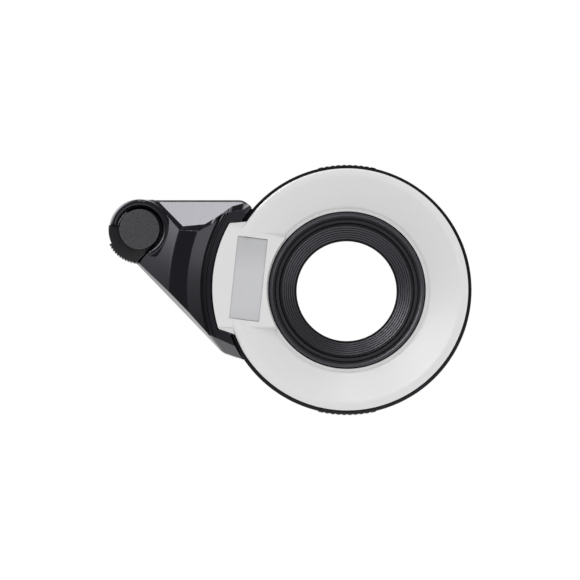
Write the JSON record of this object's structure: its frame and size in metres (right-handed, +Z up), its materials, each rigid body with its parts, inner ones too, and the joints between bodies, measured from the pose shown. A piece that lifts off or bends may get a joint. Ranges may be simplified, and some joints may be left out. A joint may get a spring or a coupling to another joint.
{
  "type": "macro ring-flash diffuser",
  "caption": "White dished diffuser ring round a ribbed open bore, with a hollow light arm, a thumb lever that works a shutter, and a ribbed bayonet ring for a camera's lens mount.",
  "frame": {"origin": "on the axis of the ring's bore, in the rear plane where the bayonet plate seats on the camera's lens mount", "axes": "+Y along the bore axis towards the camera, +Z up, +X to the right seen from the front; the face looks along -Y"},
  "size_m": [0.0873, 0.0166, 0.0604],
  "materials": {
    "black_satin": "black moulded plastic, satin gloss",
    "black_matt": "black moulded plastic, matt",
    "white_diffuser": "opal white plastic, fine matt",
    "frosted_window": "frosted grey acrylic",
    "white_liner": "white reflecting liner",
    "mirror_plate": "bright reflector plate",
    "clear_inlet": "clear acrylic",
    "lever_black": "black moulded plastic",
    "lever_cap_grey": "dark grey fine-grained plastic",
    "steel": "bright steel"
  },
  "bodies": {
    "body": {"housing": "black_satin", "arm_cover": "black_satin", "diffuser": "white_diffuser", "light_window": "frosted_window", "baffle_tube": "black_matt", "ring_reflector": "white_liner", "arm_reflector": "mirror_plate", "inlet_window": "clear_inlet", "retaining_ring": "black_matt", "retainer_screw_1": "steel", "retainer_screw_2": "steel", "retainer_screw_3": "steel", "drag_spring": "steel", "arm_screw_1": "steel", "arm_screw_2": "steel"},
    "lock": {"lock_ring": "black_matt", "bayonet_plate": "black_matt", "bayonet_screw_1": "steel", "bayonet_screw_2": "steel", "bayonet_screw_3": "steel"},
    "lever": {"lever": "lever_black", "lever_cap": "lever_cap_grey", "lever_washer": "steel", "shutter_blade": "black_matt", "shutter_screw": "steel"}
  },
  "joints": [
    {"name": "lock_ring_turn", "type": "hinge", "parent": "body", "child": "lock", "pos_m": [0, 0, 0], "axis": [0, 1, 0], "range_deg": [-50, 0]},
    {"name": "lever_turn", "type": "hinge", "parent": "body", "child": "lever", "pos_m": [-0.0499, 0, 0.01425], "axis": [0, 1, 0], "range_deg": [0, 40]}
  ]
}
